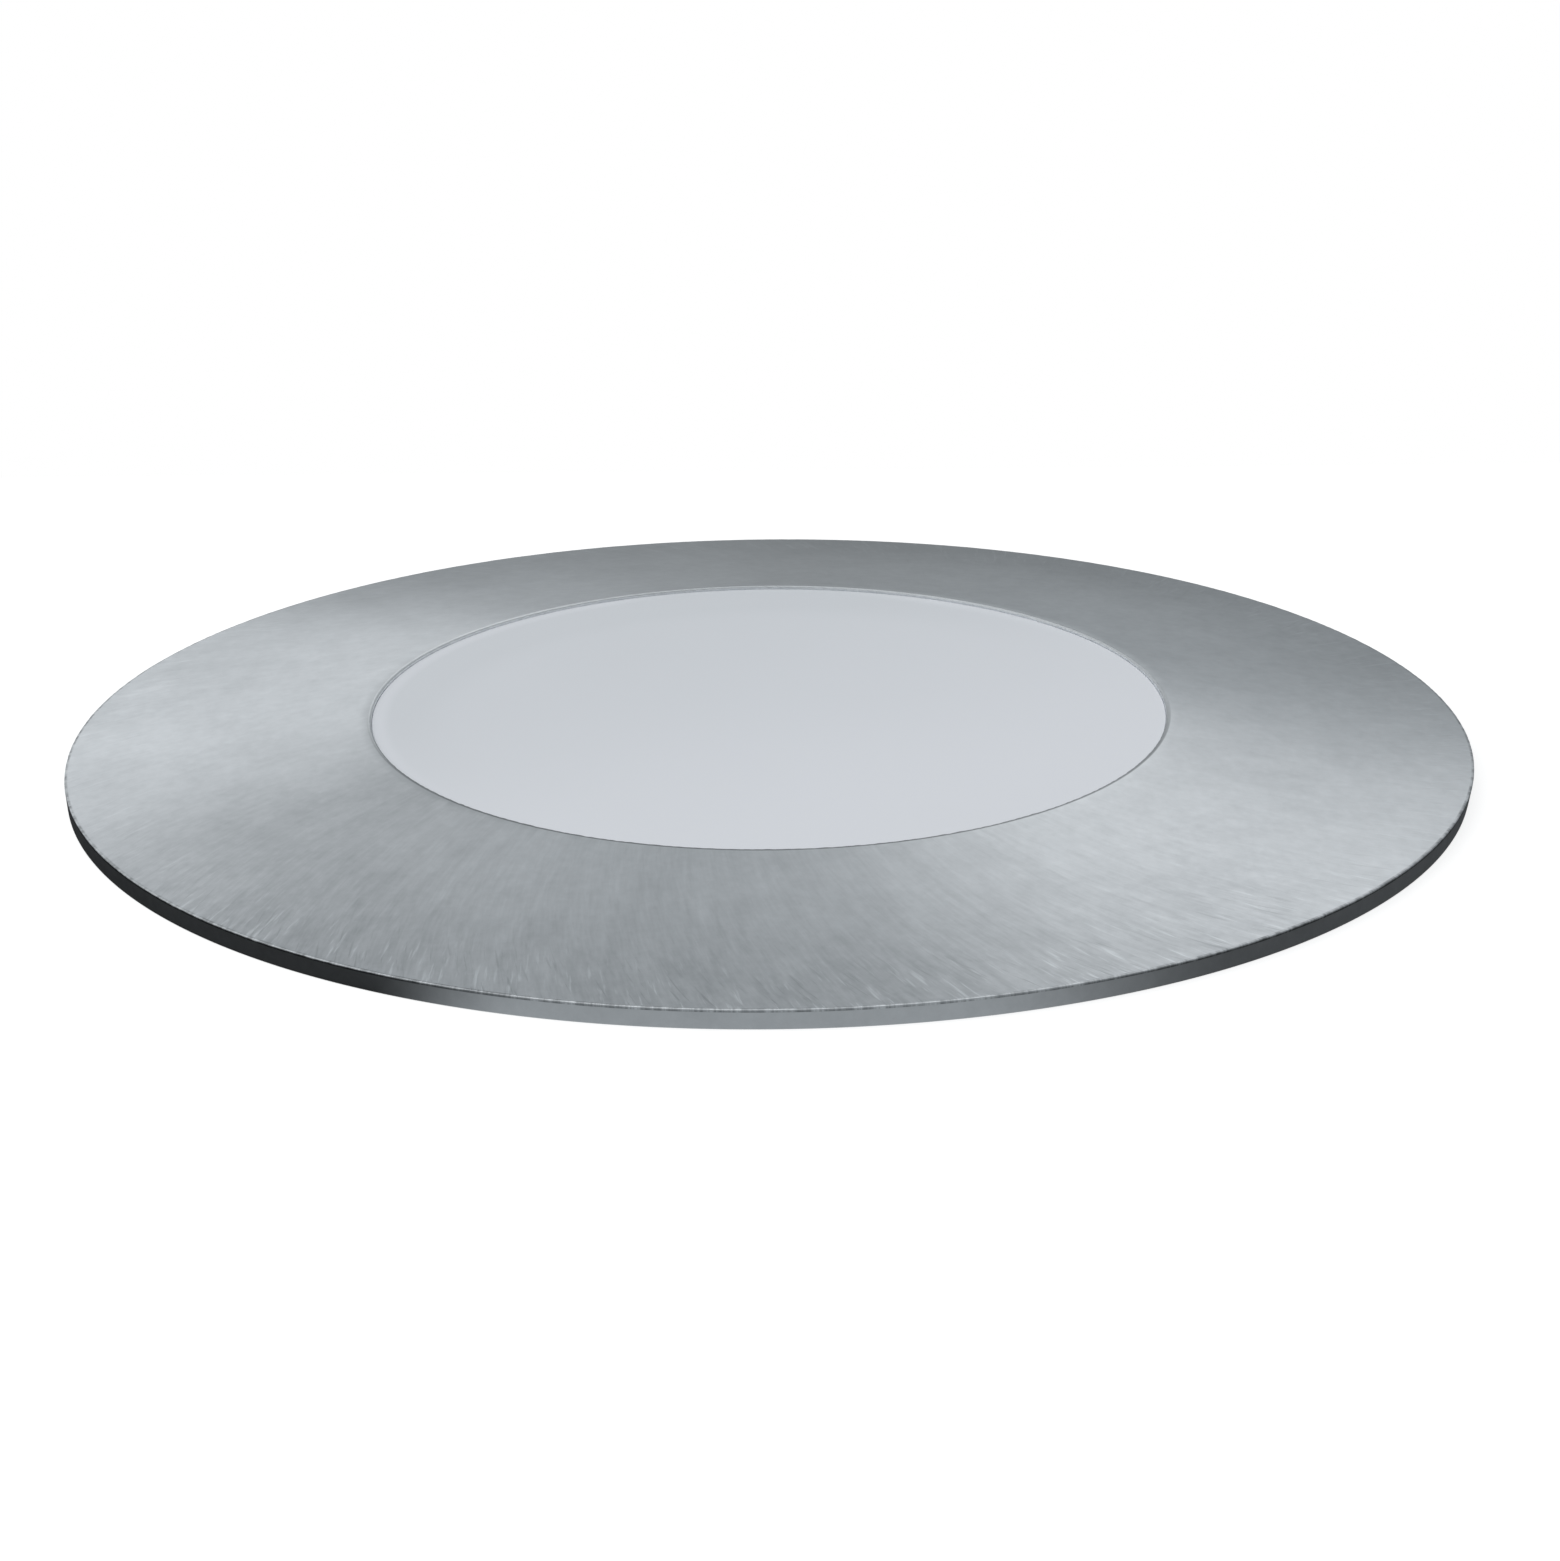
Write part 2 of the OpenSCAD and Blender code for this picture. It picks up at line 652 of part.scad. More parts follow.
module spring_rivets() color("gainsboro") at_angles(spring_angles)
  translate([tab_x + leaf_t, 0, rivet_z]) rotate([0, 90, 0]) {
    rod(rivet_shank_r, -leaf_t - rivet_depth, eps);
    rotate_extrude() polygon(concat(
      [[0, 0]],
      arc(0, 0, rivet_head_r, rivet_dome[0], rivet_dome[1], 3),
      [[0, rivet_head_r * sin(rivet_dome[1])]]
    ));
  }

module leaf_spring(angle) color("silver") rotate([0, 0, angle]) {
  steps = [for (i = [0:leaf_steps]) i / leaf_steps * leaf_reach];
  translate([0, leaf_w / 2, 0]) rotate([90, 0, 0]) linear_extrude(height = leaf_w) union() {
    polygon(concat(
      [for (u = steps) leaf_side(u, 1)],
      [for (i = [leaf_steps:-1:0]) leaf_side(steps[i], -1)]
    ));
    translate([root_x, root_z]) circle(r = root_r, $fn = 32);
  }
}

module leaf_spring_1() leaf_spring(spring_angles[0]);
module leaf_spring_2() leaf_spring(spring_angles[1]);
module leaf_spring_3() leaf_spring(spring_angles[2]);

// Sleeve for the floor: smooth collar at the top, ribs and anchor rings below, open at the bottom
module mounting_sleeve() color("darkslategray") {
  outer_r = sleeve_bore_r + sleeve_wall;
  rib_r = collar_r - sleeve_rib_inset;
  rib_root_r = outer_r - sleeve_wall / 2;
  rib_low_z = sleeve_z + sleeve_foot;
  anchor_z = [for (i = [1:anchor_count]) -collar_h + (sleeve_z + collar_h) * i / (anchor_count + 1)];
  difference() {
    union() {
      rod(outer_r, sleeve_z, -collar_h + eps);
      rod(collar_r, -collar_h, 0);
      at_angles([for (i = [0:sleeve_rib_count - 1]) i * 360 / sleeve_rib_count])
        translate([rib_root_r, -sleeve_rib_t / 2, rib_low_z])
          cube([rib_r - rib_root_r - sleeve_rib_step, sleeve_rib_t, -collar_h - rib_low_z + eps]);
      for (z = anchor_z) rod(rib_r, z - sleeve_rib_t / 2, z + sleeve_rib_t / 2);
    }
    rod(sleeve_bore_r, sleeve_z - eps, eps);
  }
}

mounting_sleeve();
trim_ring();
ring_carrier();
floor_gasket();
lens();
lens_gasket();
housing();
ring_screws();
reflector();
led_board();
led_chips();
board_screws();
thermal_pad();
heat_sink();
sink_screws();
link_leads();
standoffs();
driver_board();
driver_screws();
inductor();
capacitor();
driver_chips();
terminal_block();
gland_body();
gland_washer();
gland_seal();
gland_nut();
gland_locknut();
spring_tabs();
spring_rivets();
leaf_spring_1();
leaf_spring_2();
leaf_spring_3();
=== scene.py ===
"""Recessed floor light: a brushed trim ring and a frosted lens over a pot in a floor sleeve.

Metres throughout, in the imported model's frame: +Z up, the floor's surface at z = 0 and the
light's axis on the Z axis. The two pieces that show when the light sits in the floor are
turned here as fine surfaces, and every other piece keeps its CAD shape under a new finish.
"""
import math

import bpy
import numpy as np
from mathutils import Matrix, Vector


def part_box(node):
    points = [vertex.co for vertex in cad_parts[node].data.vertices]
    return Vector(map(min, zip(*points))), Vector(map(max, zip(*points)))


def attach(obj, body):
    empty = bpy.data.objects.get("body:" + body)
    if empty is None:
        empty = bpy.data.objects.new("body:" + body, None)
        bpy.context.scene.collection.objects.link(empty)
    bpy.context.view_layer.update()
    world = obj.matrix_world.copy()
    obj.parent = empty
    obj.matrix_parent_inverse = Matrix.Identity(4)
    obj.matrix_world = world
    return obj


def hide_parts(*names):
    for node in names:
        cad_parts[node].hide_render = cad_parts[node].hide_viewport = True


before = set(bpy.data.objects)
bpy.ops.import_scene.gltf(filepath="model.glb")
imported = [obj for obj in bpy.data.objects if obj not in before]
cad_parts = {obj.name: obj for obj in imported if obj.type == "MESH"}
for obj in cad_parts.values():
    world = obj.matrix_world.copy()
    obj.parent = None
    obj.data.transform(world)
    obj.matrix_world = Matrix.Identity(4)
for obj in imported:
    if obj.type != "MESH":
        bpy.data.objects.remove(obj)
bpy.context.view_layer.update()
MM = 0.001
TAU = 2 * math.pi

# The dressed trim: its hole, its rim, its sheet and how far its cone climbs from rim to hole
HOLE_R, RIM_R, SHEET, CLIMB = 23.95 * MM, 42.5 * MM, 1.2 * MM, 3.2 * MM


# ---- Shader maths: sockets that take Python's operators -------------------------------------

class Link:
    """One output socket. Each operator on it adds a Math node and gives that node's output."""

    def __init__(self, paint, socket):
        self.paint = paint
        self.socket = socket

    def _math(self, operation, first, second=None):
        sockets = {0: first} if second is None else {0: first, 1: second}
        return self.paint.node("Math", {"operation": operation}, sockets)

    def __add__(self, other):
        return self._math("ADD", self, other)

    def __radd__(self, other):
        return self._math("ADD", other, self)

    def __sub__(self, other):
        return self._math("SUBTRACT", self, other)

    def __rsub__(self, other):
        return self._math("SUBTRACT", other, self)

    def __mul__(self, other):
        return self._math("MULTIPLY", self, other)

    def __rmul__(self, other):
        return self._math("MULTIPLY", other, self)

    def __truediv__(self, other):
        return self._math("DIVIDE", self, other)

    def __abs__(self):
        return self._math("ABSOLUTE", self)

    def root(self):
        return self._math("SQRT", self)

    def fraction(self):
        return self._math("FRACT", self)

    def above(self, limit, soft):
        """0 below limit - soft and 1 above limit + soft, eased between."""
        return self.fit(limit - soft, limit + soft, 0.0, 1.0)

    def fit(self, low, high, to_low, to_high):
        """The value carried from low..high to to_low..to_high along an eased curve, clamped."""
        return self.paint.node(
            "MapRange",
            {"interpolation_type": "SMOOTHSTEP"},
            {"Value": self, "From Min": low, "From Max": high, "To Min": to_low, "To Max": to_high},
        )


class Paint:
    """A node tree for one finish. node() adds any node: its type, settings, then sockets."""

    # Sockets that share a name with others on their node, so they are known by number
    OBJECT_OUTPUT = 3
    MIX_SHARE, MIX_FIRST, MIX_SECOND, MIX_COLOUR = 0, 6, 7, 2

    def __init__(self, tree):
        self.tree = tree
        tree.nodes.clear()

    def node(self, kind, settings=None, sockets=None, out=0):
        made = self.tree.nodes.new("ShaderNode" + kind)
        for name, value in (settings or {}).items():
            setattr(made, name, value)
        for name, value in (sockets or {}).items():
            if isinstance(value, Link):
                self.tree.links.new(value.socket, made.inputs[name])
            else:
                made.inputs[name].default_value = value
        return Link(self, made.outputs[out]) if made.outputs else made

    def place(self):
        """Object coordinates, which for every piece here are metres in the model's frame."""
        return self.node("TexCoord", out=self.OBJECT_OUTPUT)

    def xyz(self):
        split = self.node("SeparateXYZ", sockets={0: self.place()})
        outs = split.socket.node.outputs
        return [Link(self, outs[i]) for i in range(3)]

    def vector(self, x, y, z):
        return self.node("CombineXYZ", sockets={0: x, 1: y, 2: z})

    def noise(self, vector, scale, detail, rough):
        sockets = {"Vector": vector, "Scale": scale, "Detail": detail, "Roughness": rough}
        return self.node("TexNoise", sockets=sockets)

    def blend(self, share, first, second):
        """A colour that goes from first to second as share goes from 0 to 1."""
        first, second = [c if isinstance(c, Link) else (*c, 1.0) for c in (first, second)]
        settings = {"data_type": "RGBA", "clamp_factor": True}
        sockets = {self.MIX_SHARE: share, self.MIX_FIRST: first, self.MIX_SECOND: second}
        return self.node("Mix", settings, sockets, out=self.MIX_COLOUR)

    def bump(self, height, depth):
        """A normal from a height of 0 to 1 that stands for depth metres."""
        return self.node("Bump", sockets={"Height": height, "Distance": depth, "Strength": 1.0})

    def surface(self, **sockets):
        """Ends the tree in a Principled shader, with its sockets by name."""
        named = {name.replace("_", " "): value for name, value in sockets.items()}
        shader = self.node("BsdfPrincipled", sockets=named)
        self.node("OutputMaterial", sockets={"Surface": shader})


def finish_of(name):
    """A new material and the paint for its tree."""
    material = bpy.data.materials.new(name)
    material.use_nodes = True
    return material, Paint(material.node_tree)


# ---- Finishes ------------------------------------------------------------------------------

def radial_brushing(p, across, along, skew=0.0):
    """Noise on (cos a * across, sin a * across, r * along): strokes that run out from the axis.

    across is how many strokes fit in one radian, and along how many fit in one metre of radius.
    skew turns each stroke away from the radial by atan(skew) about its middle.
    """
    x, y, z = p.xyz()
    reach = (x * x + y * y).root()
    if skew:
        middle = 34 * MM
        drift = (1.0 - reach * (1 / middle)) * skew
        x, y = x - y * drift, y + x * drift
        reach = (x * x + y * y).root()
    place = p.vector(x / reach * across, y / reach * across, (reach + z) * along)
    return p.noise(place, 1, 2, 0.6)


def sector(p, angle, inner, outer):
    """1 within inner degrees of the given angle round the axis, falling to 0 at outer degrees."""
    x, y, _ = p.xyz()
    toward = x * math.cos(math.radians(angle)) + y * math.sin(math.radians(angle))
    cosine = toward / (x * x + y * y).root()
    return cosine.fit(math.cos(math.radians(outer)), math.cos(math.radians(inner)), 0.0, 1.0)


# The ring's broad light and dark: painted highlight and painted shade in shares of its tone. Each
# lobe is a sector: its direction, the degrees within which it is full and past which it is gone,
# and its weight.
EVEN_PAINTED_LIGHT_LOBES = (
    (216, 4, 25, -0.20),
    (315, 6, 26, 0.06),
    (6, 6, 22, 0.06),
    (105, 3, 17, 0.19),
    (271, 5, 20, -0.07),
)
# The same with a weight that goes from one value to another between two radii in mm
SLOPING_PAINTED_LIGHT_LOBES = (
    (68, 36, 70, (26.5, 42.3), (-0.03, -0.37)),
    (265, 25, 60, (26.5, 42.3), (0.16, -0.16)),
    (130, 6, 26, (27, 41), (0.18, 0.0)),
    (166, 4, 18, (34, 39), (0.0, 0.12)),
    (68, 8, 24, (34, 41), (0.0, -0.12)),
    (202, 4, 21, (34, 40), (-0.17, -0.02)),
)
# The same painted highlight and painted shade beside the lens alone
PAINTED_LIGHT_LOBES_BY_LENS = ((5, 20, 70, 0.10), (50, 18, 42, 0.24), (192, 20, 55, -0.26))


def painted_ring_light(p, reach, by_hole):
    """The sum of all the lobes of painted light and shade, for a tone that is 0.5 where there is
    none.
    """
    wide = sum(sector(p, *place) * weight for *place, weight in EVEN_PAINTED_LIGHT_LOBES)
    for *place, radii, weights in SLOPING_PAINTED_LIGHT_LOBES:
        low, high = [r * MM for r in radii]
        wide = wide + sector(p, *place) * reach.fit(low, high, *weights)
    beside = sum(sector(p, *place) * weight for *place, weight in PAINTED_LIGHT_LOBES_BY_LENS)
    return wide + by_hole(0.85 * MM, 0.7 * MM) * beside


def ring_rim(p, steel, reach, z):
    """The steel with its broken outer edge: a dull line, painted shade under it, dark nicks, and
    painted glints in front.
    """
    high_up = z.fit(SHEET - 0.20 * MM, SHEET - 0.14 * MM, 0.0, 1.0)
    edge = reach.fit(RIM_R - 0.22 * MM, RIM_R - 0.10 * MM, 0.0, 1.0) * high_up
    rough_edge = radial_brushing(p, 60, 40) * 0.65 + radial_brushing(p, 320, 40) * 0.35
    in_front = sector(p, 278, 14, 34)
    band_low = z.fit(SHEET - 0.18 * MM, SHEET - 0.15 * MM, 0.0, 1.0)
    band_high = z.fit(SHEET - 0.11 * MM, SHEET - 0.08 * MM, 0.0, 1.0)
    outside = reach.fit(RIM_R - 0.2 * MM, RIM_R - 0.1 * MM, 0.0, 1.0)
    # A thin line of painted shade just under the edge's break.
    painted_shade_under_edge = (band_low - band_high) * outside * (1.0 - rough_edge).above(0.42, 0.10)
    # Painted glints on the edge, mostly in front.
    painted_glint = rough_edge.above(0.50, 0.16) * edge * (0.06 + 0.44 * in_front)
    nick = (1.0 - rough_edge).above(0.52, 0.12) * edge * (1.0 - 0.6 * in_front)
    for share, colour in (
        (edge * 0.4, (0.34, 0.357, 0.37)),
        (painted_shade_under_edge * 0.75, (0.16, 0.168, 0.175)),
        (painted_glint * 0.7, (0.84, 0.865, 0.88)),
        (nick * 0.7, (0.15, 0.157, 0.163)),
    ):
        steel = p.blend(share, steel, colour)
    return steel


def ring_hole(p, steel, x, y, z, by_hole):
    """The steel with its inner edge.

    Its round is painted pale on the left as painted light and dark on the right as painted shade. A
    dark line of painted shade runs along its near side, and the sheared wall of the hole is uneven
    and painted pale as painted light, a little less pale on the right.
    """
    right_side, near_side = sector(p, 40, 55, 100), sector(p, 275, 65, 100)
    torn = p.noise(p.vector(x * 1300, y * 1300, z * 900), 1, 3, 0.6).fit(0.34, 0.56, 0.0, 1.0)
    torn = torn * 0.5 + 0.5 - 0.5 * right_side
    # The round's painted light on the left and painted shade on the right.
    painted_round_light_and_shade = p.blend(right_side, (0.64, 0.66, 0.672), (0.345, 0.361, 0.372))
    steel = p.blend(by_hole(0.22 * MM, 0.12 * MM) * 0.8, steel, painted_round_light_and_shade)
    # A dark line of painted shade along the near side.
    near_painted_shade = by_hole(0.31 * MM, 0.09 * MM) * 0.85 * near_side
    steel = p.blend(near_painted_shade, steel, (0.20, 0.209, 0.216))
    # The wall's pale is painted light over an uneven sheared grain, a little less pale on the
    # right.
    painted_pale_wall = p.blend(torn, (0.78, 0.805, 0.825), (0.96, 0.975, 0.985))
    return p.blend(by_hole(0.03 * MM, 0.03 * MM) * 0.9, steel, painted_pale_wall)


def brushed_stainless():
    """Satin stainless: short skewed strokes over an even matte grain.

    The strokes are faint by the lens and plain by the rim, where some are painted pale as painted
    highlight and some are dark. They are plainest in front, where their raised contrast is painted
    sheen over real brush marks. Broad lobes of painted highlight and painted shade lie round the
    axis.
    """
    material, p = finish_of("brushed_stainless")
    x, y, z = p.xyz()
    reach = (x * x + y * y).root()

    def by_hole(extra, band):
        """1 at the hole, falling to 0 at extra past it over the width of band."""
        return (HOLE_R + extra - reach).fit(0.0, band, 0.0, 1.0)

    top = z.fit(SHEET - 0.25 * MM, SHEET - 0.05 * MM, 0.0, 1.0)
    outward = reach.fit(25 * MM, 42 * MM, 0.5, 1.0)
    front = sector(p, 262, 30, 75)
    fine = radial_brushing(p, 170, 560, 0.4) - 0.5
    broad = radial_brushing(p, 60, 340, 0.3) - 0.5
    rays = radial_brushing(p, 26, 45, 0.15) * 0.6 + radial_brushing(p, 80, 110, 0.2) * 0.4 - 0.5
    satin = p.noise(p.place(), 1500, 3, 0.65) - 0.5
    blotch = p.noise(p.place(), 420, 2, 0.6) - 0.5
    cloud = p.noise(p.place(), 70, 3, 0.5) - 0.5
    # Brush strokes; their contrast raised in front is painted sheen.
    strokes = (fine * 0.50 + broad * 0.50) * outward * (0.28 + 0.72 * front)
    strokes = strokes + rays * (0.08 + 0.34 * front)
    # The lobes add painted highlight and painted shade to the top's tone.
    tone = (strokes + painted_ring_light(p, reach, by_hole)) * top
    tone = tone + blotch * 0.30 + satin * 0.40 + cloud * 0.30 + 0.5
    # Near the rim pale strokes are painted highlight and dark strokes are darker marks, both
    # strongest in front.
    near_rim = reach.fit(35 * MM, 41.5 * MM, 0.10, 1.0) * (0.35 + 0.65 * sector(p, 270, 20, 70))
    pale = radial_brushing(p, 120, 420, 0.3).above(0.64, 0.08) * near_rim
    dark = radial_brushing(p, 150, 380, 0.5).above(0.65, 0.06) * near_rim

    steel = p.blend(tone, (0.381, 0.395, 0.409), (0.676, 0.692, 0.711))
    steel = p.blend(pale * top * 0.34, steel, (0.86, 0.89, 0.91))
    steel = p.blend(dark * top * 0.30, steel, (0.16, 0.172, 0.182))
    steel = ring_rim(p, steel, reach, z)
    steel = ring_hole(p, steel, x, y, z, by_hole)
    groove = (fine * 0.7 + broad * 0.3) * outward * top * (0.45 + 0.55 * front)
    p.surface(
        Base_Color=steel,
        Metallic=1.0,
        Roughness=0.48 + fine * 0.12 * top + cloud * 0.10 + satin * 0.06,
        Anisotropic=0.82,
        Normal=p.bump(groove + satin * 0.2 + 0.5, 5e-6),
    )
    return material


def frosted_glass():
    """Frosted glass over a white bowl: pale blue-grey and matte, with a fine even grain.

    It is painted palest in front on the right as painted light, and behind it a greyer band of
    painted shade runs inside an edge of painted light.
    """
    material, p = finish_of("frosted_glass")
    grain = p.noise(p.place(), 9000, 2, 0.6)
    cloud = p.noise(p.place(), 45, 2, 0.5)
    x, y, _ = p.xyz()
    reach = (x * x + y * y).root()
    # Painted light: palest in front on the right, darker to the back on the left.
    side = (x * 0.55 - y * 0.85).fit(-24 * MM, 20 * MM, 0.0, 1.0)
    # Behind: an edge of painted light with a band of painted shade inside it.
    behind, far_middle = sector(p, 125, 40, 100), sector(p, 90, 8, 26)
    painted_edge_light = reach.fit(22.7 * MM, 23.5 * MM, 0.0, 1.0) * behind * (1.0 - 0.8 * far_middle)
    painted_far_shade = reach.fit(18 * MM, 22 * MM, 0.0, 1.0) * behind
    side = side - painted_far_shade * 0.35 + painted_edge_light * 0.75
    colour = p.blend(side * 0.75 + cloud * 0.25, (0.605, 0.621, 0.649), (0.709, 0.718, 0.754))
    p.surface(
        Base_Color=colour,
        Roughness=0.5 + (grain - 0.5) * 0.2,
        IOR=1.47,
        Normal=p.bump(grain, 4e-6),
    )
    return material


def moulded(name, dark, pale, rough, grain_scale, grain_depth, coat=0.0):
    """Moulded plastic or rubber: a fine eroded grain, with a slow drift of tone."""
    material, p = finish_of(name)
    grain = p.noise(p.place(), grain_scale, 3, 0.6)
    cloud = p.noise(p.place(), 70, 2, 0.5)
    p.surface(
        Base_Color=p.blend(grain * 0.5 + cloud * 0.5, dark, pale),
        Roughness=rough + (grain - 0.5) * 0.18 + (cloud - 0.5) * 0.08,
        Coat_Weight=coat,
        Normal=p.bump(grain, grain_depth),
    )
    return material


def cast_aluminium():
    """Die-cast pot under grey powder coat: orange-peel bump and a worn, paler speckle."""
    material, p = finish_of("cast_aluminium")
    peel = p.noise(p.place(), 1500, 3, 0.55)
    cloud = p.noise(p.place(), 60, 3, 0.5)
    speckle = p.noise(p.place(), 5200, 1, 0.5).above(0.62, 0.05)
    coat = p.blend(cloud, (0.36, 0.37, 0.38), (0.46, 0.47, 0.48))
    p.surface(
        Base_Color=p.blend(speckle * 0.35, coat, (0.58, 0.59, 0.60)),
        Metallic=0.35,
        Roughness=0.52 + (peel - 0.5) * 0.25,
        Normal=p.bump(peel, 6e-5),
    )
    return material


def drawn_metal(name, dark, pale, rough, stretch, depth):
    """Plain metal with marks drawn out along one axis: noise on coordinates scaled by stretch."""
    material, p = finish_of(name)
    x, y, z = p.xyz()
    marks = p.noise(p.vector(x * stretch[0], y * stretch[1], z * stretch[2]), 1, 2, 0.6)
    cloud = p.noise(p.place(), 180, 3, 0.5)
    p.surface(
        Base_Color=p.blend(marks * 0.7 + cloud * 0.3, dark, pale),
        Metallic=1.0,
        Roughness=rough + (marks - 0.5) * 0.25 + (cloud - 0.5) * 0.1,
        Normal=p.bump(marks, depth),
    )
    return material


def circuit_board(name, mask, track, scale):
    """Solder mask over copper: tracks are the thin level lines of a broad noise."""
    material, p = finish_of(name)
    x, y, _ = p.xyz()
    field = p.noise(p.vector(x, y, 0.0), scale, 0, 0.5)
    lines = 1.0 - abs((field * 9.0).fraction() - 0.5).above(0.12, 0.03)
    p.surface(
        Base_Color=p.blend(lines, mask, track),
        Roughness=0.35 + lines * 0.1,
        Normal=p.bump(lines, 2e-5),
    )
    return material


# Moulded finishes: dark and pale colour, roughness, grains in a metre, their depth, coat weight
MOULDED = {
    "black_plastic": ((0.022, 0.022, 0.024), (0.04, 0.04, 0.042), 0.5, 3200, 3e-5),
    "black_rubber": ((0.018, 0.018, 0.019), (0.034, 0.034, 0.035), 0.72, 2400, 4e-5),
    "white_plastic": ((0.80, 0.80, 0.79), (0.88, 0.88, 0.87), 0.3, 900, 6e-6, 0.2),
    "chip_yellow": ((0.80, 0.60, 0.14), (0.90, 0.74, 0.26), 0.35, 4000, 1e-5),
    "pad_silicone": ((0.40, 0.50, 0.57), (0.50, 0.60, 0.66), 0.65, 2600, 2e-5),
    "lead_plastic": ((0.40, 0.025, 0.025), (0.50, 0.04, 0.04), 0.35, 1500, 8e-6, 0.2),
    "ferrite": ((0.06, 0.06, 0.064), (0.10, 0.10, 0.105), 0.6, 3000, 3e-5),
    "capacitor_sleeve": ((0.02, 0.04, 0.12), (0.04, 0.06, 0.17), 0.3, 700, 1e-5, 0.3),
    "green_plastic": ((0.04, 0.28, 0.14), (0.06, 0.36, 0.18), 0.45, 1800, 2e-5),
    "gland_plastic": ((0.07, 0.07, 0.075), (0.11, 0.11, 0.115), 0.5, 2600, 2e-5),
    "sleeve_plastic": ((0.055, 0.06, 0.065), (0.085, 0.09, 0.096), 0.55, 2200, 4e-5),
}
# Plain metals: dark and pale colour, roughness, marks in a metre along x, y and z, their depth
DRAWN = {
    "screw_steel": ((0.52, 0.53, 0.54), (0.74, 0.75, 0.76), 0.3, (900, 900, 9000), 8e-6),
    "sink_aluminium": ((0.58, 0.59, 0.60), (0.76, 0.77, 0.78), 0.38, (7000, 260, 7000), 1e-5),
    "brass": ((0.60, 0.43, 0.17), (0.80, 0.62, 0.30), 0.28, (900, 900, 9000), 1e-5),
    "spring_steel": ((0.48, 0.49, 0.50), (0.68, 0.69, 0.70), 0.26, (3200, 3200, 160), 6e-6),
}
# Circuit boards: colour of the mask and of the tracks, cells of the track noise in a metre
BOARDS = {
    "white_board": ((0.80, 0.80, 0.78), (0.74, 0.75, 0.73), 120),
    "green_board": ((0.02, 0.16, 0.07), (0.05, 0.26, 0.12), 140),
}
FINISHES = {
    "brushed_stainless": brushed_stainless(),
    "frosted_glass": frosted_glass(),
    "cast_aluminium": cast_aluminium(),
}
for maker, table in ((moulded, MOULDED), (drawn_metal, DRAWN), (circuit_board, BOARDS)):
    FINISHES.update({name: maker(name, *values) for name, values in table.items()})

NODES_OF = {
    "brushed_stainless": ["trim_ring"],
    "frosted_glass": ["lens"],
    "black_plastic": ["ring_carrier"],
    "black_rubber": ["floor_gasket", "lens_gasket", "gland_washer", "gland_seal"],
    "cast_aluminium": ["housing"],
    "screw_steel": ["ring_screws", "board_screws", "sink_screws", "driver_screws", "spring_rivets"],
    "white_plastic": ["reflector"],
    "white_board": ["led_board"],
    "chip_yellow": ["led_chips"],
    "pad_silicone": ["thermal_pad"],
    "sink_aluminium": ["heat_sink"],
    "lead_plastic": ["link_leads"],
    "brass": ["standoffs"],
    "green_board": ["driver_board"],
    "ferrite": ["inductor", "driver_chips"],
    "capacitor_sleeve": ["capacitor"],
    "green_plastic": ["terminal_block"],
    "gland_plastic": ["gland_body", "gland_nut", "gland_locknut"],
    "spring_steel": ["spring_tabs", "leaf_spring_1", "leaf_spring_2", "leaf_spring_3"],
    "sleeve_plastic": ["mounting_sleeve"],
}
for slot, nodes in NODES_OF.items():
    for node in nodes:
        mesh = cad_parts[node].data
        mesh.materials.clear()
        mesh.materials.append(FINISHES[slot])


# ---- Turned surfaces -----------------------------------------------------------------------

def skin(name, spots, poles=()):
    """A closed surface over a grid of spots (profile point, segment, xyz).

    Each cell is one quad. Without poles the profile is a loop. With them, a bottom and a top
    point on the axis, its two ends are closed by fans. The profile runs anticlockwise, seen
    with the axis on its left, so that every face points outwards.
    """
    count, segments = spots.shape[:2]
    rows = np.arange(count - 1 if len(poles) else count)
    low, step = np.meshgrid(rows, np.arange(segments), indexing="ij")
    high, side = (low + 1) % count, (step + 1) % segments
    lower, upper = low * segments, high * segments
    corners = [lower + step, lower + side, upper + side, upper + step]
    faces = np.stack(corners, -1).reshape(-1, 4).tolist()
    points = spots.reshape(-1, 3)
    if len(poles):
        here, after = np.arange(segments), (np.arange(segments) + 1) % segments
        bottom, top, last = len(points), len(points) + 1, (count - 1) * segments
        faces += np.stack([np.full(segments, bottom), after, here], -1).tolist()
        faces += np.stack([last + here, last + after, np.full(segments, top)], -1).tolist()
        points = np.concatenate([points, np.array(poles)])
    mesh = bpy.data.meshes.new(name)
    mesh.from_pydata(points.tolist(), [], faces)
    mesh.shade_smooth()
    mesh.update()
    piece = bpy.data.objects.new(name, mesh)
    bpy.context.scene.collection.objects.link(piece)
    return piece


def turned(rings):
    """Spots (r cos t, r sin t, z), from rings of (profile point, segment, (r, z))."""
    turn = np.arange(rings.shape[1]) * TAU / rings.shape[1]
    r, z = rings[..., 0], rings[..., 1]
    return np.stack([r * np.cos(turn), r * np.sin(turn), z], -1)


def bend(middle, radius, start, end, steps):
    """An arc in the (radius, height) plane about middle, with its angles in degrees.

    middle and radius may differ from segment to segment: the arc's points go along the first axis.
    """
    turn = np.radians(np.linspace(start, end, steps))[:, None, None]
    radius = np.asarray(radius).reshape(-1, 1)
    return np.asarray(middle) + radius * np.concatenate([np.cos(turn), np.sin(turn)], -1)


